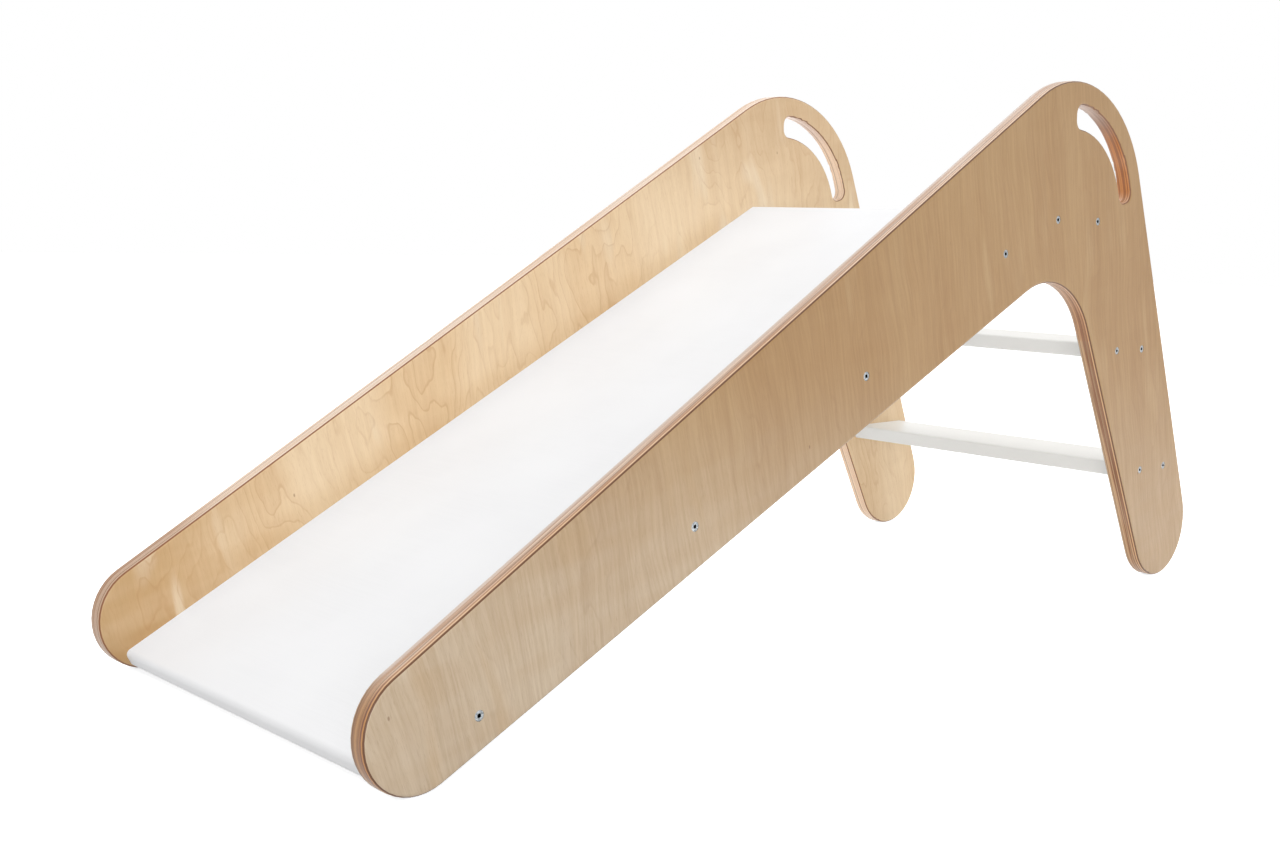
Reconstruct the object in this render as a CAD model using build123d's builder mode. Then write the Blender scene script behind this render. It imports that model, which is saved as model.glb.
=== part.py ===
# Toddler slide: two plywood side panels carry a slide board, a platform and two steps.
# Millimetres, +Z up. The origin is on the floor, in the middle of the length and of the width.
# A child sliding down faces -X, so the left panel is the one at -Y.

import os
from math import acos, atan2, degrees, radians, tan

from build123d import *

# Stock
panel_thickness = 21
board_thickness = 20
inner_width = 460  # clear width between the two side panels

# Side panel outline: three circles joined by straight tangent edges
nose_radius = 58  # low end, touching the floor
foot_radius = 74  # lower end of the leg, touching the floor
top_radius = 182  # round top
nose_to_foot = 1322  # between the centres of the nose and the foot
nose_to_top = 1018  # between the centres of the nose and the round top, level
top_height = 498  # centre of the round top above the floor
rail_taper = 5.13  # degrees by which the rail narrows towards the nose
leg_taper = 5.73  # degrees by which the leg narrows towards the foot
crotch_radius = 119  # hollow between the rail and the leg
edge_round = 4  # round-over on every panel edge
round_limit = 0.45  # most of a wall that a round-over takes

# Handle slot, concentric with the round top
handle_bar = 29  # wood left outside the slot
handle_slot = 30
handle_low = 14.6  # degrees above level at the slot's lower end
handle_high = 92.4  # degrees above level at its upper end
handle_corner = 12

# Steps and platform
step_rise = 172  # floor to step, step to step, and step to platform
step_depth = 120
upper_setback = 1  # centre of the upper step behind the middle of the leg
lower_setback = 5.5  # the same for the lower step
platform_depth = 150
platform_lead = 63  # platform's front edge ahead of the round top's centre
board_round = 3

# Slide board
slide_tip_lead = 25.6  # middle of the slide's low end ahead of the panel's nose centre
slide_tip_height = 13.2
slide_tip_round = 6  # round-over on both edges of the low end
slide_end_round = 6  # round-over where the slide meets the platform
slide_end_gap = 1

# Screws: countersunk head with a hex socket, plain neck in the panel, thread in the board
head_diameter = 10
head_rim = 0.6
head_angle = 90
head_recess = 0.3  # top of the head below the panel's face
neck_diameter = 7
thread_core = 5
screw_length = 50
screw_tip = 4
screw_tip_diameter = 2
socket_size = 4  # across flats
socket_depth = 2.5
hole_clearance = 0.2  # all round a screw
pilot_allowance = 3  # pilot hole past the screw's tip
slide_screw_count = 4
slide_screw_low = 98.5  # along the slide, from its low end to the first screw
slide_screw_high = 102  # from its upper end to the last one
board_screw_count = 2
board_screw_margin = 25  # from the edges of a step or the platform


def polar(angle):
    return Vector(1, 0).rotate(Axis.Z, angle)


# Angle of the normal shared by two circles on the left of the way from one to the other
def tangent_normal(start, start_radius, end, end_radius):
    span = end - start
    return degrees(atan2(span.Y, span.X) + acos((start_radius - end_radius) / span.length))


# Point where the line from start meets the line from other
def crossing(start, start_angle, other, other_angle):
    heading = polar(start_angle)
    side = polar(other_angle + 90)
    return start + heading * ((other - start).dot(side) / heading.dot(side))


# Points evenly spaced from one margin to the other
def spaced(start, end, start_margin, end_margin, count):
    heading = (end - start).normalized()
    pitch = ((end - start).length - start_margin - end_margin) / (count - 1)
    return [start + heading * (start_margin + pitch * index) for index in range(count)]


# Layout of the side panel in its own plane: X along the slide, Y up
length = nose_radius + nose_to_foot + foot_radius
nose = Vector(nose_radius - length / 2, nose_radius)
foot = Vector(nose.X + nose_to_foot, foot_radius)
top = Vector(nose.X + nose_to_top, top_height)
upper_normal = tangent_normal(nose, nose_radius, top, top_radius)
rear_normal = tangent_normal(top, top_radius, foot, foot_radius)
lower_angle = upper_normal - 90 - rail_taper
front_angle = rear_normal + 90 + leg_taper
nose_lower = nose + polar(lower_angle - 90) * nose_radius
nose_upper = nose + polar(upper_normal) * nose_radius
top_upper = top + polar(upper_normal) * top_radius
top_rear = top + polar(rear_normal) * top_radius
foot_rear = foot + polar(rear_normal) * foot_radius
foot_front = foot + polar(front_angle + 90) * foot_radius
crotch = crossing(nose_lower, lower_angle, foot_front, front_angle)
slot_outer = top_radius - handle_bar
slot_inner = slot_outer - handle_slot


# Centre of a step between the leg's edges at a height
def step_centre(height, setback):
    level = Vector(0, height)
    front = crossing(level, 0, foot_front, front_angle)
    rear = crossing(level, 0, foot_rear, rear_normal + 90)
    return Vector((front.X + rear.X) / 2 + setback, height)


# Layout of the boards: centres of the flat ones, and the slide from its low end to the platform
platform_top = 3 * step_rise
platform_front = top.X - platform_lead
flat_boards = {
    "platform_board": (
        Vector(platform_front + platform_depth / 2, platform_top - board_thickness / 2),
        platform_depth,
    ),
    "upper_step": (step_centre(2 * step_rise - board_thickness / 2, upper_setback), step_depth),
    "lower_step": (step_centre(step_rise - board_thickness / 2, lower_setback), step_depth),
}
slide_half = board_thickness / 2
slide_tip = Vector(nose.X - slide_tip_lead, slide_tip_height)
slide_end = platform_front - slide_end_gap
slide_corner = Vector(slide_end - slide_end_round, platform_top - slide_end_round)
slide_normal = tangent_normal(slide_tip, slide_half, slide_corner, slide_end_round)
slide_angle = slide_normal - 90
slide_under = slide_tip - polar(slide_normal) * slide_half
slide_over = slide_tip + polar(slide_normal) * slide_half
slide_crest = slide_corner + polar(slide_normal) * slide_end_round
slide_back = Vector(slide_end, slide_corner.Y)
slide_foot = crossing(slide_under, slide_angle, slide_back, 90)
slide_middle = crossing(slide_tip, slide_angle, slide_back, 90)

# Screw places in the panel's plane
slide_row = spaced(slide_tip, slide_middle, slide_screw_low, slide_screw_high, slide_screw_count)
screw_rows = {"slide": slide_row}
for name, (centre, depth) in flat_boards.items():
    half = Vector(depth / 2, 0)
    ends = (centre - half, centre + half)
    row = spaced(*ends, board_screw_margin, board_screw_margin, board_screw_count)
    screw_rows[name.removesuffix("_board")] = row

# Screw and hole sizes that follow from the fits
head_radius = head_diameter / 2
neck_radius = neck_diameter / 2
core_radius = thread_core / 2
head_height = head_rim + (head_radius - neck_radius) / tan(radians(head_angle / 2))
neck_end = panel_thickness - head_recess - hole_clearance
pilot_depth = screw_length + head_recess - panel_thickness + pilot_allowance
outer_face = inner_width / 2 + panel_thickness
panel_round = min(edge_round, round_limit * panel_thickness)
slot_round = min(handle_corner, round_limit * handle_slot)
tip_round = min(slide_tip_round, round_limit * board_thickness)


# Planes facing out of the left (-1) or right (1) side, one at each point, a distance from the middle
def side_planes(points, side, distance):
    return [Plane(origin=(p.X, side * distance, p.Y), z_dir=(0, side, 0)) for p in points]


os.makedirs("parts", exist_ok=True)


def save(part, label):
    part.label = label
    export_step(part, f"parts/{label}.step")


# Left side panel: outline, handle slot, round-over, countersunk screw holes
left_inner = Plane.XZ.offset(inner_width / 2)
with BuildPart() as left_panel:
    with BuildSketch(left_inner) as outline:
        with BuildLine():
            upper_edge = Line(nose_upper, top_upper)
            TangentArc(top_upper, top_rear, tangent=upper_edge % 1)
            rear_edge = Line(top_rear, foot_rear)
            TangentArc(foot_rear, foot_front, tangent=rear_edge % 1)
            Line(foot_front, crotch)
            lower_edge = Line(crotch, nose_lower)
            TangentArc(nose_lower, nose_upper, tangent=lower_edge % 1)
        make_face()
        fillet(outline.vertices().sort_by_distance(crotch)[0], crotch_radius)
    extrude(amount=panel_thickness)
    with BuildSketch(left_inner) as slot:
        with BuildLine():
            far_arc = CenterArc(top, slot_outer, handle_low, handle_high - handle_low)
            near_arc = CenterArc(top, slot_inner, handle_low, handle_high - handle_low)
            Line(far_arc @ 0, near_arc @ 0)
            Line(far_arc @ 1, near_arc @ 1)
        make_face()
        fillet(slot.vertices(), slot_round)
    extrude(amount=panel_thickness, mode=Mode.SUBTRACT)
    across = left_panel.edges().group_by(Axis.Y)
    fillet(across[0] + across[-1], panel_round)
    heads = [point for row in screw_rows.values() for point in row]
    with Locations(*side_planes(heads, -1, outer_face - head_recess - head_rim)):
        CounterSinkHole(
            neck_radius + hole_clearance,
            head_radius + hole_clearance,
            depth=panel_thickness,
            counter_sink_angle=head_angle,
        )
save(left_panel.part, "side_panel_left")

# Right side panel
with BuildPart() as right_panel:
    mirror(left_panel.part, about=Plane.XZ)
save(right_panel.part, "side_panel_right")


# Pilot holes for a row of screws, in both ends of the board being built
def drill_ends(row):
    for side in (-1, 1):
        with Locations(*side_planes(row, side, inner_width / 2)):
            Hole(core_radius + hole_clearance, depth=pilot_depth)


# Slide board: low end square to the slope with rounded edges, upper end cut plumb against the platform
with BuildPart() as slide_board:
    with BuildSketch(Plane.XZ) as profile:
        with BuildLine():
            surface = Line(slide_over, slide_crest)
            TangentArc(slide_crest, slide_back, tangent=surface % 1)
            Polyline(slide_back, slide_foot, slide_under, slide_over)
        make_face()
        fillet(profile.vertices().sort_by_distance(slide_tip)[:2], tip_round)
    extrude(amount=inner_width / 2, both=True)
    drill_ends(screw_rows["slide"])
save(slide_board.part, "slide_board")

# Platform and steps: flat boards with eased edges
for name, (centre, depth) in flat_boards.items():
    with BuildPart() as flat_board:
        with BuildSketch(Plane.XZ):
            with Locations(centre):
                RectangleRounded(depth, board_thickness, board_round)
        extrude(amount=inner_width / 2, both=True)
        drill_ends(screw_rows[name.removesuffix("_board")])
    save(flat_board.part, name)

# One screw, its head's top at the origin and its tip at -Z
with BuildPart() as screw:
    with BuildSketch(Plane.XZ):
        with BuildLine():
            Polyline(
                (0, 0),
                (head_radius, 0),
                (head_radius, -head_rim),
                (neck_radius, -head_height),
                (neck_radius, -neck_end),
                (core_radius, -neck_end),
                (core_radius, screw_tip - screw_length),
                (screw_tip_diameter / 2, -screw_length),
                (0, -screw_length),
                close=True,
            )
        make_face()
    revolve(axis=Axis.Z)
    with BuildSketch(Plane.XY):
        RegularPolygon(socket_size / 2, side_count=6, major_radius=False)
    extrude(amount=-socket_depth, mode=Mode.SUBTRACT)

# The screws of each board, one group a side
for side_name, side in {"left": -1, "right": 1}.items():
    for board_name, row in screw_rows.items():
        with BuildPart() as screws:
            with Locations(*side_planes(row, side, outer_face - head_recess)):
                add(screw.part)
        save(screws.part, f"{board_name}_screws_{side_name}")
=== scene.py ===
from math import radians

import bpy
from mathutils import Matrix, Vector


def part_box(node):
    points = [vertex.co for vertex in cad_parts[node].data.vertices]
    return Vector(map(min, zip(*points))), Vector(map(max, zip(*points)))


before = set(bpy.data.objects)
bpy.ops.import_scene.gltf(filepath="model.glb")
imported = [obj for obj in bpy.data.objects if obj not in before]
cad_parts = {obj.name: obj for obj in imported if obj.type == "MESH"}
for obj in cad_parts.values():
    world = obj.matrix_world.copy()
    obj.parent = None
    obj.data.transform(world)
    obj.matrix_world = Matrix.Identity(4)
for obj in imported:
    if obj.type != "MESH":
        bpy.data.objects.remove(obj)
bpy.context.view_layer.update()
scene = bpy.context.scene
scene.view_settings.view_transform = "Standard"
print("frame loaded:", len(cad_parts), "nodes")

noiseMiddle = 0.5
noiseSpread = (0.3, 0.7)  # where most values of a noise lie


# colours are written as they are picked, 0 to 255, and turned into scene-linear values here
def shade(red, green, blue):
    linear = []
    for level in (red, green, blue):
        level = level / 255
        linear.append(level / 12.92 if level <= 0.04045 else ((level + 0.055) / 1.055) ** 2.4)
    return (*linear, 1.0)


# node helpers: an input may be another node's output or a plain value
def feed(tree, socket, value):
    if isinstance(value, bpy.types.NodeSocket):
        tree.links.new(value, socket)
    elif value is not None:
        socket.default_value = value


def newNode(tree, kind, inputs=None, **settings):
    node = tree.nodes.new(kind)
    for key, value in settings.items():
        setattr(node, key, value)
    for key, value in (inputs or {}).items():
        feed(tree, node.inputs[key], value)
    return node


def sums(tree, operation, first, second=None, third=None):
    inputs = {0: first, 1: second, 2: third}
    return newNode(tree, "ShaderNodeMath", inputs, operation=operation).outputs[0]


def times(tree, first, *others):
    for other in others:
        first = sums(tree, "MULTIPLY", first, other)
    return first


def largest(tree, first, *others):
    for other in others:
        first = sums(tree, "MAXIMUM", first, other)
    return first


def axes(tree, vector):
    return newNode(tree, "ShaderNodeSeparateXYZ", {0: vector}).outputs


def joined(tree, x=0.0, y=0.0, z=0.0):
    return newNode(tree, "ShaderNodeCombineXYZ", {0: x, 1: y, 2: z}).outputs[0]


def stretch(tree, vector, scale):
    inputs = {0: vector, 1: scale}
    return newNode(tree, "ShaderNodeVectorMath", inputs, operation="MULTIPLY").outputs[0]


def noise(tree, vector, scale=1.0, detail=2.0, roughness=0.5, distortion=0.0):
    inputs = {"Vector": vector, "Scale": scale, "Detail": detail,
              "Roughness": roughness, "Distortion": distortion}
    return newNode(tree, "ShaderNodeTexNoise", inputs).outputs[0]


def fade(tree, value, start, end, low=0.0, high=1.0):
    inputs = {"Value": value, "From Min": start, "From Max": end, "To Min": low, "To Max": high}
    return newNode(tree, "ShaderNodeMapRange", inputs, interpolation_type="SMOOTHSTEP").outputs[0]


# 1 inside a band of values and 0 outside, with soft limits
def within(tree, value, band, soft):
    start, end = band
    rise = fade(tree, value, start - soft, start + soft)
    return times(tree, rise, fade(tree, value, end + soft, end - soft))


# a Mix node has its values at inputs 2 and 3, and its colours at inputs 6 and 7 and output 2
def mixValues(tree, factor, first, second):
    return newNode(tree, "ShaderNodeMix", {0: factor, 2: first, 3: second}).outputs[0]


def blend(tree, factor, first, second, mode="MIX"):
    inputs = {0: factor, 6: first, 7: second}
    return newNode(tree, "ShaderNodeMix", inputs, data_type="RGBA", blend_type=mode).outputs[2]


def newGroup(name, inputs, outputs):
    tree = bpy.data.node_groups.new(name, "ShaderNodeTree")
    for label, kind in inputs.items():
        tree.interface.new_socket(name=label, in_out="INPUT", socket_type=kind)
    for label in outputs:
        tree.interface.new_socket(name=label, in_out="OUTPUT", socket_type="NodeSocketFloat")
    return tree, tree.nodes.new("NodeGroupInput").outputs


def endGroup(tree, results):
    out = tree.nodes.new("NodeGroupOutput").inputs
    for label, result in results.items():
        tree.links.new(result, out[label])
    return tree


def useGroup(tree, group, inputs):
    return newNode(tree, "ShaderNodeGroup", inputs, node_tree=group).outputs


def newMaterial(name, roughness, metallic=0.0):
    material = bpy.data.materials.new(name)
    material.use_nodes = True
    tree = material.node_tree
    shader = tree.nodes["Principled BSDF"]
    shader.inputs["Roughness"].default_value = roughness
    shader.inputs["Metallic"].default_value = metallic
    place = tree.nodes.new("ShaderNodeTexCoord").outputs["Object"]
    return material, tree, shader, place


# roughness that a pattern from 0 to 1 spreads evenly about its middle
def varied(tree, pattern, roughness, spread):
    return sums(tree, "MULTIPLY_ADD", pattern, spread, roughness - spread / 2)


def addBump(tree, shader, height, strength, distance):
    inputs = {"Height": height, "Strength": strength, "Distance": distance}
    tree.links.new(newNode(tree, "ShaderNodeBump", inputs).outputs[0], shader.inputs["Normal"])


def dress(material, *nodeNames):
    for nodeName in nodeNames:
        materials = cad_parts[nodeName].data.materials
        materials.clear()
        materials.append(material)


# peeled birch veneer: ring lines, fibres, pores, broad tone and pin knots, one sheet on each face
veneerSheet = {
    "grainAngle": 104,  # degrees from the floor towards the top of the slide
    "sheetShift": 41.0,  # how differently the sheets on two faces are figured
    "wander": (3.2, 5.0),  # waves of the grain, per metre along and across it
    "wanderWidth": 0.060,
    "figure": (5.0, 13.0),
    "tone": (1.3, 8.0),
    "curl": (42.0, 10.0),
    "flare": (5.5, 26.0),
    "flareRange": (0.58, 0.74),
    "streak": (4.0, 95.0),
    "fibre": (12.0, 330.0),
    "pore": (120.0, 1900.0),
    "poreRange": (0.60, 0.72),
    "ringBody": (0.15, 0.92, 0.0, 0.30),  # a ring darkens slowly, ends in a line and starts afresh
    "ringLine": (0.80, 0.92, 0.0, 0.70),
    "ringEnd": (0.93, 1.0, 1.0, 0.0),
    "ringPatches": (0.36, 0.64, 0.25, 1.0),  # in places the rings hardly show
    "knotsPerMetre": 8.0,
    "knotRadius": 0.0016,
    "knotCore": 0.35,  # share of the radius that is fully dark
    "knotSquash": 0.55,
    "knotShare": (0.60, 0.64),
}


def buildVeneer():
    sheet = veneerSheet
    tree, given = newGroup(
        "birchVeneer",
        {"Vector": "NodeSocketVector", "Ring Width": "NodeSocketFloat", "Figure": "NodeSocketFloat"},
        ("Ring", "Streak", "Fibre", "Pore", "Tone", "Curl", "Flare", "Knot"),
    )
    inputs = {"Vector": given["Vector"], "Rotation": (0, radians(sheet["grainAngle"]), 0)}
    turned = newNode(tree, "ShaderNodeMapping", inputs).outputs[0]
    parts = axes(tree, turned)
    shift = sheet["sheetShift"]

    def layer(name, place, **settings):
        along, across = sheet[name]
        return noise(tree, stretch(tree, place, (along, shift, across)), **settings)

    wander = sums(tree, "SUBTRACT", layer("wander", turned), noiseMiddle)
    across = sums(tree, "MULTIPLY_ADD", wander, sheet["wanderWidth"], parts[2])
    grain = joined(tree, parts[0], parts[1], across)

    # rings, bent into arches by the figure
    rings = sums(tree, "DIVIDE", across, given["Ring Width"])
    figure = layer("figure", turned, detail=3.5, roughness=0.42)
    figure = sums(tree, "SUBTRACT", figure, noiseMiddle)
    step = sums(tree, "FRACT", sums(tree, "MULTIPLY_ADD", figure, given["Figure"], rings))
    ring = sums(tree, "ADD", fade(tree, step, *sheet["ringBody"]), fade(tree, step, *sheet["ringLine"]))
    patches = layer("tone", turned, detail=4.0, roughness=0.75)
    ring = times(tree, ring, fade(tree, step, *sheet["ringEnd"]), fade(tree, patches, *sheet["ringPatches"]))

    # pin knots, a few of the cells have one
    lift = times(tree, parts[1], shift)
    squashed = sums(tree, "MULTIPLY_ADD", parts[0], sheet["knotSquash"], lift)
    flat = joined(tree, squashed, sums(tree, "ADD", parts[2], lift))
    inputs = {"Vector": flat, "Scale": sheet["knotsPerMetre"]}
    cells = newNode(tree, "ShaderNodeTexVoronoi", inputs, voronoi_dimensions="2D").outputs
    reach = sheet["knotRadius"] * sheet["knotsPerMetre"]
    spot = fade(tree, cells["Distance"], reach * sheet["knotCore"], reach, 1.0, 0.0)
    chosen = newNode(tree, "ShaderNodeSeparateColor", {0: cells["Color"]}).outputs[0]

    flare = layer("flare", grain, detail=1.0, distortion=0.4)
    return endGroup(tree, {
        "Ring": ring,
        "Streak": layer("streak", grain, detail=4.0, roughness=0.62),
        "Fibre": layer("fibre", grain, detail=3.0, roughness=0.6),
        "Pore": fade(tree, layer("pore", grain, detail=1.0), *sheet["poreRange"]),
        "Tone": layer("tone", grain),
        "Curl": layer("curl", grain, detail=1.5),
        "Flare": fade(tree, flare, *sheet["flareRange"]),
        "Knot": times(tree, spot, fade(tree, chosen, *sheet["knotShare"])),
    })


# thin plies seen on the panels' edges, counted from the outer face
panelLow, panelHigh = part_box("side_panel_left")
plyStack = {
    "innerFace": -panelHigh.y,  # from the middle of the slide
    "thickness": panelHigh.y - panelLow.y,
    "faceVeneer": 0.0007,
    "faceSoft": (0.9, 1.1),
    "darkLine": 0.0021,  # from the face to the end of the dark line behind the veneer
    "darkSoft": (0.88, 1.05),
    "darkStrength": 0.97,
    "paleBand": (0.0021, 0.0036),
    "paleShift": -0.35,
    "darkBand": (0.0038, 0.0052),
    "darkShift": 0.30,
    "secondLine": (0.0074, 0.0088),
    "secondStrength": 0.62,
    "bandSoft": 0.0002,
    "ply": 0.00145,
    "glueLine": (0.04, 0.16, 0.50, 0.0),  # in plies, away from each joint
    "waves": 30.0,
    "waveHeight": 0.00025,
    "everyOther": 0.40,  # how much darker every other ply is, and any ply by chance
    "byChance": 0.45,
    "chanceSeed": 3.7,
    "beads": 420.0,
    "bands": (5.0, 300.0, 5.0),
    "drift": 16.0,
}


def buildPlies():
    stack = plyStack
    soft = stack["bandSoft"]
    tree, given = newGroup(
        "plyEdges",
        {"Vector": "NodeSocketVector"},
        ("Edge", "Dark Ply", "Glue", "Bead", "Band", "Drift"),
    )
    place = given["Vector"]
    fromMiddle = sums(tree, "ABSOLUTE", axes(tree, place)[1])
    outer = sums(tree, "SUBTRACT", stack["innerFace"] + stack["thickness"], fromMiddle)
    depth = sums(tree, "MINIMUM", outer, sums(tree, "SUBTRACT", stack["thickness"], outer))

    # plies by number, with their tones and the glue between them
    waves = sums(tree, "SUBTRACT", noise(tree, place, stack["waves"]), noiseMiddle)
    wavy = sums(tree, "MULTIPLY_ADD", waves, stack["waveHeight"], outer)
    count = sums(tree, "DIVIDE", sums(tree, "SUBTRACT", wavy, stack["darkLine"]), stack["ply"])
    whole = sums(tree, "FLOOR", count)
    step = sums(tree, "SUBTRACT", count, whole)
    odd = times(tree, sums(tree, "PINGPONG", whole, 1.0), stack["everyOther"])
    seed = sums(tree, "ADD", whole, stack["chanceSeed"])
    chance = newNode(tree, "ShaderNodeTexWhiteNoise", {"W": seed}, noise_dimensions="1D").outputs["Value"]
    joint = sums(tree, "MINIMUM", step, sums(tree, "SUBTRACT", 1.0, step))
    lines = fade(tree, joint, *stack["glueLine"])

    # lines and bands at set depths
    faceEnd = [stack["faceVeneer"] * share for share in stack["faceSoft"]]
    darkEnd = [stack["darkLine"] * share for share in stack["darkSoft"]]
    first = fade(tree, depth, *darkEnd, stack["darkStrength"], 0.0)
    second = times(tree, within(tree, outer, stack["secondLine"], soft), stack["secondStrength"])
    band = noise(tree, stretch(tree, place, stack["bands"]))
    for name in ("pale", "dark"):
        inside = within(tree, depth, stack[name + "Band"], soft)
        band = sums(tree, "MULTIPLY_ADD", inside, stack[name + "Shift"], band)

    return endGroup(tree, {
        "Edge": fade(tree, depth, *faceEnd),
        "Dark Ply": sums(tree, "ADD", odd, times(tree, chance, stack["byChance"])),
        "Glue": largest(tree, first, lines, second),
        "Bead": noise(tree, place, stack["beads"]),
        "Band": band,
        "Drift": noise(tree, place, stack["drift"]),
    })


veneerGroup = buildVeneer()
plyGroup = buildPlies()
print("node groups built")

# birch plywood panels: the outer faces' veneer is tan and darker than the inner faces', a painted shade, and
# the inner faces are paler and more figured
outerSheet = {
    "pale": shade(189, 153, 107),
    "deep": shade(178, 139, 92),
    "ringColour": shade(144, 104, 64),
    "ringStrength": 0.15,
    "ringWidth": 0.016,
    "figure": 8.0,
    "flareColour": shade(202, 170, 128),
    "flareStrength": 0.35,
    "fadeAxis": 2,
    "lowPale": shade(220, 202, 178),  # painted light: paler and greyer towards the floor, where the floor's bounce falls
    "lowStrength": 0.85,
    "lowRange": (0.08, 0.36),
    "legPale": 0.42,
    "legFaceShade": (1.0, 1.0, 1.0, 1.0),
    "slideShade": (1.0, 1.0, 1.0, 1.0),
    "highTone": shade(184, 149, 106),
    "highStrength": 0.3,
    "streakStrength": 0.12,
    "fibreStrength": 0.60,
    "knot": shade(122, 80, 50),
}
innerSheet = {
    "pale": shade(245, 218, 180),
    "deep": shade(236, 203, 159),
    "ringColour": shade(186, 134, 80),
    "ringStrength": 0.34,
    "ringWidth": 0.030,
    "figure": 13.0,
    "flareColour": shade(246, 226, 196),
    "flareStrength": 0.60,
    "fadeAxis": 0,
    "lowPale": shade(204, 164, 112),  # more golden at the low end
    "lowStrength": 0.90,
    "lowRange": (-0.70, -0.46),
    "legPale": 1.0,
    # painted shade on the inner face of the leg, under the slide
    "legFaceShade": (0.90, 0.885, 0.86, 1.0),
    "slideShade": (0.86, 0.80, 0.70, 1.0),  # painted shade: more golden where it meets the slide
    "highTone": shade(214, 182, 142),
    "highStrength": 0.85,
    "streakStrength": 0.12,
    "fibreStrength": 0.28,
    "knot": shade(150, 104, 68),
}
birchFace = {
    "legPaleRange": (0.20, 0.45),  # along x, from the rail to the leg
    "legFaceShadeRange": (0.24, 0.46),
    "slideSlope": -0.5056,  # z plus this much of x is slideLevel along the top of the slide
    "slideLevel": 0.3756,
    "slideBand": 0.045,
    "slideStrength": 0.8,
    "slideEnd": (0.18, 0.28, 1.0, 0.0),
    "highRange": (0.50, 0.64),
    "curlStrength": 0.22,
    "fibreTint": (0.84, 0.80, 0.72, 1.0),
    "streakRange": (0.40, 0.72),
    "poreStrength": 0.20,
    "knotStrength": 0.55,
    "sheetSplit": (0.0095, 0.0115),  # from the inner face: inner sheet up to here, then the outer one
    "bounce": shade(248, 249, 251),  # the wood throws hardly any colour on the white boards
    "roughness": 0.44,
    "roughSpread": 0.12,
    "poreDepth": 0.8,
    "grainBump": 0.00006,
    "bumpStrength": 0.5,
}


def makeSheet(tree, place, parts, sheet):
    look = birchFace
    along, _, height = parts
    inputs = {"Vector": place, "Ring Width": sheet["ringWidth"], "Figure": sheet["figure"]}
    veneer = useGroup(tree, veneerGroup, inputs)
    face = blend(tree, fade(tree, veneer["Tone"], *noiseSpread), sheet["pale"], sheet["deep"])
    # painted light on the outer faces, paler towards the floor and less so on the leg; on the inner faces a
    # golden low end
    low = fade(tree, parts[sheet["fadeAxis"]], *sheet["lowRange"], sheet["lowStrength"], 0.0)
    low = times(tree, low, fade(tree, along, *look["legPaleRange"], 1.0, sheet["legPale"]))
    face = blend(tree, low, face, sheet["lowPale"])
    # painted shade over the leg's inner face, none on the outer faces
    face = blend(tree, fade(tree, along, *look["legFaceShadeRange"]), face, sheet["legFaceShade"], "MULTIPLY")
    # painted shade along the line where the inner face meets the slide
    level = sums(tree, "MULTIPLY_ADD", along, look["slideSlope"], height)
    bandEnd = look["slideLevel"] + look["slideBand"]
    contactShade = fade(tree, level, look["slideLevel"], bandEnd, look["slideStrength"], 0.0)
    contactShade = times(tree, contactShade, fade(tree, along, *look["slideEnd"]))
    face = blend(tree, contactShade, face, sheet["slideShade"], "MULTIPLY")
    high = fade(tree, height, *look["highRange"], 0.0, sheet["highStrength"])
    face = blend(tree, high, face, sheet["highTone"])

    # figure and grain over the broad tones
    curl = fade(tree, veneer["Curl"], *noiseSpread, 0.0, look["curlStrength"])
    face = blend(tree, curl, face, sheet["pale"])
    face = blend(tree, times(tree, veneer["Flare"], sheet["flareStrength"]), face, sheet["flareColour"])
    fibre = fade(tree, veneer["Fibre"], *noiseSpread, 0.0, sheet["fibreStrength"])
    face = blend(tree, fibre, face, look["fibreTint"], "MULTIPLY")
    streak = fade(tree, veneer["Streak"], *look["streakRange"], 0.0, sheet["streakStrength"])
    face = blend(tree, streak, face, sheet["ringColour"])
    face = blend(tree, times(tree, veneer["Ring"], sheet["ringStrength"]), face, sheet["ringColour"])
    face = blend(tree, times(tree, veneer["Pore"], look["poreStrength"]), face, sheet["ringColour"])
    face = blend(tree, times(tree, veneer["Knot"], look["knotStrength"]), face, sheet["knot"])
    return face, veneer


# ply colours of each panel, the left panel's darker and the right panel's paler, partly as painted shade and
# painted light, and of the legs' rear edges on both
leftEdges = {
    "plyPale": shade(240, 216, 194),
    "plyDark": shade(180, 130, 92),
    "plyBead": shade(146, 98, 60),
    "glue": shade(108, 70, 42),
    "noseTint": (0.70, 0.47, 0.22, 1.0),  # the plies are browner round the nose
    "noseRange": (-0.726, -0.688),
    "noseLine": (0.45, 0.33, 0.18, 1.0),
    # painted shade down the front of the left leg
    "legEdgeShade": (0.86, 0.68, 0.44, 1.0),
    "stripeTint": (0.62, 0.50, 0.38, 1.0),
    "slotPly": shade(194, 114, 24),
    "slotStrength": 0.92,
    "slotHigh": shade(139, 89, 62),
    "innerSheen": 0.90,
    "railWarm": 0.85,
    "legLight": 0.0,
}
rightEdges = {
    "plyPale": shade(255, 238, 220),
    "plyDark": shade(238, 202, 168),
    "plyBead": shade(214, 170, 132),
    "glue": shade(140, 86, 48),
    "noseTint": (0.66, 0.56, 0.48, 1.0),
    "noseRange": (-0.67, -0.55),
    "noseLine": (0.62, 0.48, 0.36, 1.0),
    "legEdgeShade": (1.0, 1.0, 1.0, 1.0),
    "stripeTint": (0.90, 0.84, 0.78, 1.0),
    "slotPly": shade(255, 220, 186),
    "slotStrength": 0.85,
    "slotHigh": shade(221, 189, 170),
    "innerSheen": 0.0,
    "railWarm": 0.0,
    # painted light: the right leg's front edge takes the pale slot colour
    "legLight": 1.0,
}
rearEdges = {
    "plyPale": shade(246, 224, 202),
    "plyDark": shade(206, 164, 128),
    "plyBead": shade(178, 132, 94),
    "glue": shade(132, 88, 56),
}
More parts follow.
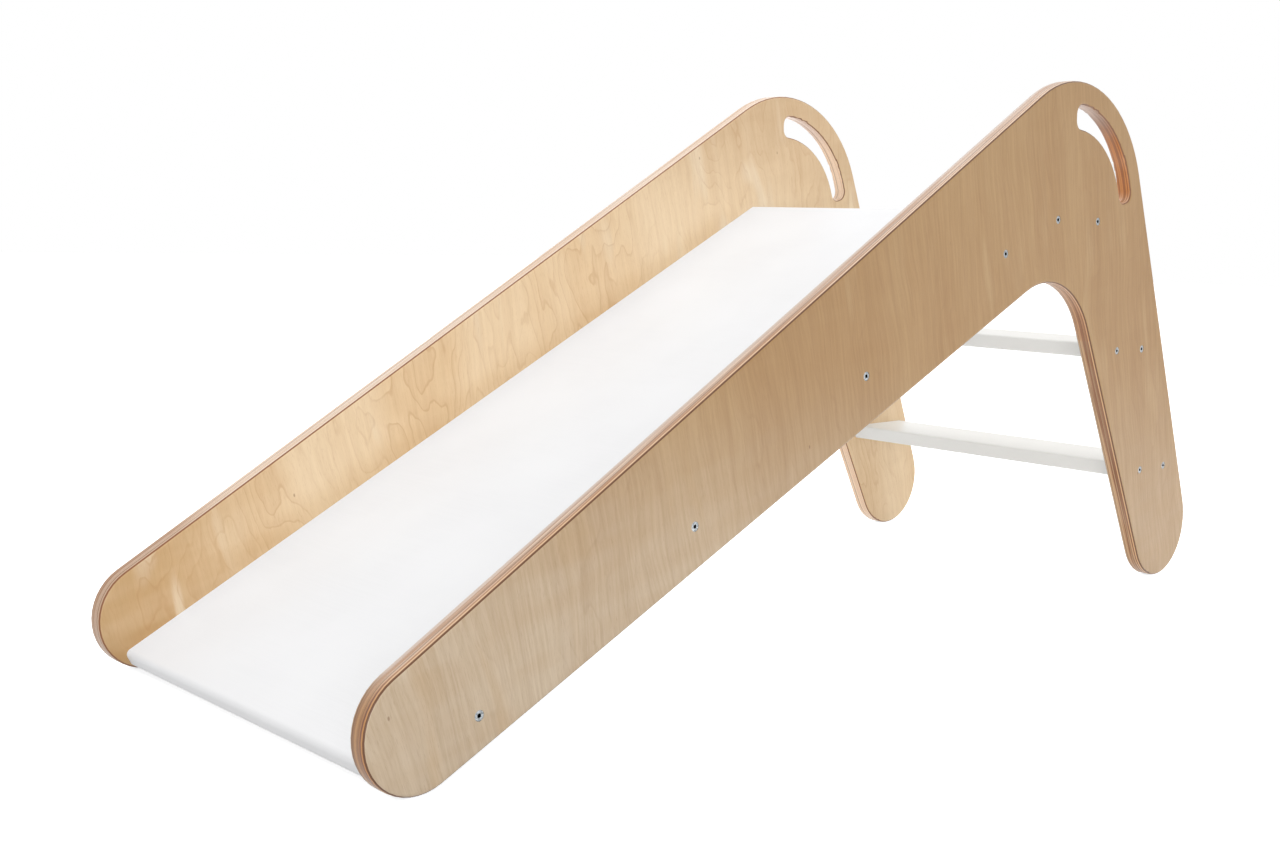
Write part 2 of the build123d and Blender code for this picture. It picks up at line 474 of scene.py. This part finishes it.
birchEdge = {
    "beadRange": (0.38, 0.62, 0.0, 0.6),
    "darkRange": (0.44, 0.62, 0.0, 0.75),
    "paleRange": (0.46, 0.34, 0.0, 0.70),
    "stripeRange": (0.46, 0.58),
    "lineRange": (0.64, 0.76),
    "driftStrength": 0.12,
    "innerSheenColour": shade(224, 208, 197),
    "innerSide": (0.009, 0.004),  # across the edge, from the inner face
    "outerSide": (0.0125, 0.0175),
    "railTint": (0.92, 0.74, 0.52, 1.0),
    "railLow": (-0.05, -0.25, 0.5, 1.0),
    "railEnd": (0.36, 0.22),
    "noseStripe": 0.7,
    "legLean": 0.501,  # x plus this much of z is legMiddle between a leg's front and rear edges
    "legMiddle": (0.680, 0.696),
    "legStart": (0.30, 0.42),
    "legTop": (0.46, 0.38),
    "slotCentre": (0.349, 0.0, 0.498),
    "slotReach": (0.160, 0.164, 1.0, 0.0),
    "slotUpper": (0.585, 0.615, 0.0, 0.85),
    "slotTop": (0.630, 0.652, 1.0, 0.72),
    "slotFloor": (0.526, 0.550, 0.35, 1.0),
    "slotLower": (0.642, 0.602),
    "roughness": 0.36,
    "plyDepth": -0.8,
}


def fromInnerFace(tree, parts):
    return sums(tree, "SUBTRACT", sums(tree, "ABSOLUTE", parts[1]), plyStack["innerFace"])


def makeEdges(tree, parts, edges, plies):
    look = birchEdge
    along, _, height = parts
    lean = sums(tree, "MULTIPLY_ADD", height, look["legLean"], along)
    rear = fade(tree, lean, *look["legMiddle"])
    ply = {label: blend(tree, rear, edges[label], colour) for label, colour in rearEdges.items()}
    beaded = blend(tree, fade(tree, plies["Bead"], *look["beadRange"]), ply["plyDark"], ply["plyBead"])
    edge = blend(tree, plies["Dark Ply"], ply["plyPale"], beaded)
    edge = blend(tree, fade(tree, plies["Band"], *look["darkRange"]), edge, ply["plyDark"])
    edge = blend(tree, fade(tree, plies["Band"], *look["paleRange"]), edge, ply["plyPale"])

    # where a panel has them, a painted sheen that makes the plies paler towards the slide, and warmer plies
    # towards the rail's outer face
    across = fromInnerFace(tree, parts)
    inner = fade(tree, across, *look["innerSide"], 0.0, edges["innerSheen"])
    edge = blend(tree, inner, edge, look["innerSheenColour"])
    outer = fade(tree, across, *look["outerSide"], 0.0, edges["railWarm"])
    outer = times(tree, outer, fade(tree, along, *look["railLow"]), fade(tree, along, *look["railEnd"]))
    edge = blend(tree, outer, edge, look["railTint"], "MULTIPLY")

    # browner plies round the nose, and painted shade down the front of the leg
    nose = fade(tree, along, *edges["noseRange"], 1.0, 0.0)
    edge = blend(tree, nose, edge, edges["noseTint"], "MULTIPLY")
    leg = times(tree, fade(tree, along, *look["legStart"]), fade(tree, height, *look["legTop"]))
    leg = times(tree, leg, sums(tree, "SUBTRACT", 1.0, rear))
    edge = blend(tree, leg, edge, edges["legEdgeShade"], "MULTIPLY")

    # handle slot: its own colour in the upper half, a warmer one in the lower half, partly painted light and
    # shade on the slot's walls
    flat = joined(tree, along, z=height)
    inputs = {0: flat, 1: look["slotCentre"]}
    away = newNode(tree, "ShaderNodeVectorMath", inputs, operation="DISTANCE").outputs["Value"]
    slot = fade(tree, away, *look["slotReach"])
    upper = times(tree, slot, fade(tree, height, *look["slotUpper"]), fade(tree, height, *look["slotTop"]))
    edge = blend(tree, upper, edge, edges["slotHigh"])
    slot = times(tree, slot, fade(tree, height, *look["slotFloor"]), fade(tree, height, *look["slotLower"]))
    # the lower slot colour, and painted light on the right leg's front edge
    warm = largest(tree, slot, times(tree, leg, edges["legLight"]))
    edge = blend(tree, times(tree, warm, edges["slotStrength"]), edge, edges["slotPly"])

    # dark plies stand out more in these places, and glue lines everywhere
    stripe = largest(tree, leg, slot, times(tree, nose, look["noseStripe"]), upper)
    stripe = times(tree, stripe, fade(tree, plies["Band"], *look["stripeRange"]))
    edge = blend(tree, stripe, edge, edges["stripeTint"], "MULTIPLY")
    line = times(tree, nose, fade(tree, plies["Band"], *look["lineRange"]))
    edge = blend(tree, line, edge, edges["noseLine"], "MULTIPLY")
    drift = fade(tree, plies["Drift"], *noiseSpread, 0.0, look["driftStrength"])
    edge = blend(tree, drift, edge, ply["plyPale"])
    return blend(tree, plies["Glue"], edge, ply["glue"])


def makeBirch(name, edges):
    look = birchFace
    material, tree, shader, place = newMaterial(name, look["roughness"])
    parts = axes(tree, place)
    plies = useGroup(tree, plyGroup, {"Vector": place})
    outer, veneer = makeSheet(tree, place, parts, outerSheet)
    inner, _ = makeSheet(tree, place, parts, innerSheet)
    outside = fade(tree, fromInnerFace(tree, parts), *look["sheetSplit"])
    face = blend(tree, outside, inner, outer)
    wood = blend(tree, plies["Edge"], face, makeEdges(tree, parts, edges, plies))
    bounced = tree.nodes.new("ShaderNodeLightPath").outputs["Is Diffuse Ray"]
    tree.links.new(blend(tree, bounced, wood, look["bounce"]), shader.inputs["Base Color"])

    rough = varied(tree, veneer["Fibre"], look["roughness"], look["roughSpread"])
    edgeChange = birchEdge["roughness"] - look["roughness"]
    rough = sums(tree, "MULTIPLY_ADD", plies["Edge"], edgeChange, rough)
    tree.links.new(rough, shader.inputs["Roughness"])
    grain = sums(tree, "SUBTRACT", veneer["Fibre"], times(tree, veneer["Pore"], look["poreDepth"]))
    plyRelief = sums(tree, "MULTIPLY_ADD", plies["Dark Ply"], birchEdge["plyDepth"], plies["Band"])
    height = mixValues(tree, plies["Edge"], grain, plyRelief)
    addBump(tree, shader, height, look["bumpStrength"], look["grainBump"])
    return material


dress(makeBirch("birchLeft", leftEdges), "side_panel_left")
dress(makeBirch("birchRight", rightEdges), "side_panel_right")
print("birch panels dressed")

# white satin lacquer on the slide, platform and steps
lacquer = {
    "white": shade(246, 246, 247),
    "shadow": shade(242, 242, 243),
    # painted shade: the steps, under the slide, a little darker and warmer
    "stepShade": shade(240, 238, 233),
    "stepsBehind": (0.42, 0.46),
    "mottle": 7.0,
    "grainAlong": (700.0, 9.0, 700.0),  # the boards' grain shows faintly along their width
    "grainTint": 0.5,
    "grainHeight": 0.5,
    "peel": 520.0,
    "roughness": 0.36,
    "roughSpread": 0.10,
    "bump": 0.00005,
    "bumpStrength": 0.35,
}


def makeLacquer():
    look = lacquer
    material, tree, shader, place = newMaterial("whiteLacquer", look["roughness"])
    mottle = fade(tree, noise(tree, place, look["mottle"], detail=3.0), *noiseSpread)
    grain = noise(tree, stretch(tree, place, look["grainAlong"]), detail=3.0)
    tint = times(tree, mottle, fade(tree, grain, *noiseSpread, look["grainTint"], 1.0))
    coat = blend(tree, tint, look["white"], look["shadow"])
    # painted shade on the steps behind the slide's top
    rear = fade(tree, axes(tree, place)[0], *look["stepsBehind"])
    tree.links.new(blend(tree, rear, coat, look["stepShade"]), shader.inputs["Base Color"])
    peel = noise(tree, place, look["peel"])
    rough = varied(tree, peel, look["roughness"], look["roughSpread"])
    tree.links.new(rough, shader.inputs["Roughness"])
    height = sums(tree, "MULTIPLY_ADD", grain, look["grainHeight"], peel)
    addBump(tree, shader, height, look["bumpStrength"], look["bump"])
    return material


dress(makeLacquer(), "slide_board", "platform_board", "upper_step", "lower_step")
print("white boards dressed")

# zinc-plated screws, with painted shade making the hex socket black
screwLow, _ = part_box("slide_screws_left")
zinc = {
    "bright": shade(188, 192, 194),
    "dull": shade(124, 130, 134),
    "cloud": 900.0,
    "cloudRange": (0.35, 0.65),
    "socket": shade(18, 18, 18),
    "headTop": -screwLow.y,  # from the middle of the slide
    "socketTop": (0.00005, 0.0003),
    "roughness": 0.33,
    "roughSpread": 0.18,
    "scratch": 1600.0,
    "bump": 0.00003,
    "bumpStrength": 0.3,
}


def makeZinc():
    look = zinc
    material, tree, shader, place = newMaterial("zincSteel", look["roughness"], metallic=1.0)
    fromMiddle = sums(tree, "ABSOLUTE", axes(tree, place)[1])
    below = sums(tree, "SUBTRACT", look["headTop"], fromMiddle)
    cloud = fade(tree, noise(tree, place, look["cloud"], detail=3.0), *look["cloudRange"])
    plate = blend(tree, cloud, look["bright"], look["dull"])
    # painted shade inside the hex socket
    inside = fade(tree, below, *look["socketTop"])
    tree.links.new(blend(tree, inside, plate, look["socket"]), shader.inputs["Base Color"])
    rough = varied(tree, cloud, look["roughness"], look["roughSpread"])
    tree.links.new(rough, shader.inputs["Roughness"])
    addBump(tree, shader, noise(tree, place, look["scratch"]), look["bumpStrength"], look["bump"])
    return material


screwNodes = [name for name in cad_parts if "_screws_" in name]
dress(makeZinc(), *screwNodes)
print("screws dressed:", len(screwNodes), "groups")

# floor: white all round, with the slide's soft shadow
floorLook = {
    "size": 30.0,
    "colour": shade(242, 242, 242),
    "frontBounce": shade(196, 196, 196),  # less light comes back up under the slide's low end
    "rearBounce": shade(250, 250, 250),
    "bounceRange": (-0.7, 0.2),
    "lift": 0.62,
}


# 1 where the background is seen, straight, in a reflection or through glass
def seenRays(tree, path):
    return largest(tree, path["Is Camera Ray"], path["Is Glossy Ray"], path["Is Transmission Ray"])


def makeFloor():
    bpy.ops.object.select_all(action="DESELECT")
    bpy.ops.mesh.primitive_plane_add(size=floorLook["size"], location=(0, 0, 0))
    floor = bpy.context.object
    floor.name = "studioFloor"
    material = bpy.data.materials.new("floorWhite")
    material.use_nodes = True
    tree = material.node_tree
    tree.nodes.remove(tree.nodes["Principled BSDF"])
    path = tree.nodes.new("ShaderNodeLightPath").outputs
    place = tree.nodes.new("ShaderNodeTexCoord").outputs["Object"]
    rear = fade(tree, axes(tree, place)[0], *floorLook["bounceRange"])
    bounce = blend(tree, rear, floorLook["frontBounce"], floorLook["rearBounce"])
    colour = blend(tree, path["Is Camera Ray"], bounce, floorLook["colour"])
    matt = newNode(tree, "ShaderNodeBsdfDiffuse", {"Color": colour}).outputs[0]
    strength = times(tree, seenRays(tree, path), floorLook["lift"])
    glow = newNode(tree, "ShaderNodeEmission", {"Strength": strength}).outputs[0]
    both = newNode(tree, "ShaderNodeAddShader", {0: matt, 1: glow}).outputs[0]
    tree.links.new(both, tree.nodes["Material Output"].inputs["Surface"])
    floor.data.materials.append(material)


makeFloor()

# soft studio light: even white room and large lamps
room = {"colour": shade(255, 255, 255), "horizon": 0.50, "zenith": 1.05, "seen": 1.0}
lamps = {
    "overheadLamp": {"place": (0.7, 0.3, 2.3), "aim": (0.1, 0.0, 0.45), "size": 1.6, "power": 9.0},
    "lowLamp": {"place": (-2.9, -3.3, 0.50), "aim": (0.4, 0.1, 0.25), "size": 2.4, "power": 56.0},
    "rearLamp": {"place": (2.9, 3.3, 0.50), "aim": (0.2, 0.0, 0.30), "size": 2.4, "power": 44.0},
}


def makeRoom():
    world = bpy.data.worlds.new("studioRoom")
    scene.world = world
    world.use_nodes = True
    tree = world.node_tree
    tree.nodes.clear()
    seen = seenRays(tree, tree.nodes.new("ShaderNodeLightPath").outputs)
    way = tree.nodes.new("ShaderNodeTexCoord").outputs["Generated"]
    inputs = {"Value": axes(tree, way)[2], "To Min": room["horizon"], "To Max": room["zenith"]}
    glow = newNode(tree, "ShaderNodeMapRange", inputs).outputs[0]
    strength = mixValues(tree, seen, glow, room["seen"])
    back = newNode(tree, "ShaderNodeBackground", {"Color": room["colour"], "Strength": strength}).outputs[0]
    result = tree.nodes.new("ShaderNodeOutputWorld")
    tree.links.new(back, result.inputs["Surface"])


def makeLamps():
    for name, lamp in lamps.items():
        bpy.ops.object.light_add(type="AREA", location=lamp["place"])
        light = bpy.context.object
        light.name = name
        light.data.shape = "DISK"
        light.data.size = lamp["size"]
        light.data.energy = lamp["power"]
        toAim = Vector(lamp["aim"]) - light.location
        light.rotation_euler = toAim.to_track_quat("-Z", "Y").to_euler()


makeRoom()
makeLamps()
print("floor, room and lamps ready")

# camera at the photograph's viewing angle, frame 1280 x 853
viewpoint = {
    "place": (-1.3975, -1.2361, 0.4842),
    "heading": -44.778,
    "pitchDown": 7.646,
    "roll": 1.618,
    "focalPixels": 1496.53,
    "frameWidth": 1280,
    "sensor": 36.0,
    "farthest": 100,
}


def makeCamera():
    bpy.ops.object.camera_add(location=viewpoint["place"])
    camera = bpy.context.object
    camera.name = "photoCamera"
    turn = Matrix.Rotation(radians(viewpoint["heading"]), 4, "Z")
    tilt = Matrix.Rotation(radians(90 - viewpoint["pitchDown"]), 4, "X")
    lean = Matrix.Rotation(radians(viewpoint["roll"]), 4, "Z")
    camera.matrix_world = Matrix.Translation(viewpoint["place"]) @ turn @ tilt @ lean
    camera.data.sensor_fit = "HORIZONTAL"
    camera.data.sensor_width = viewpoint["sensor"]
    camera.data.lens = viewpoint["focalPixels"] / viewpoint["frameWidth"] * viewpoint["sensor"]
    camera.data.clip_end = viewpoint["farthest"]
    scene.camera = camera


makeCamera()
print("camera ready")
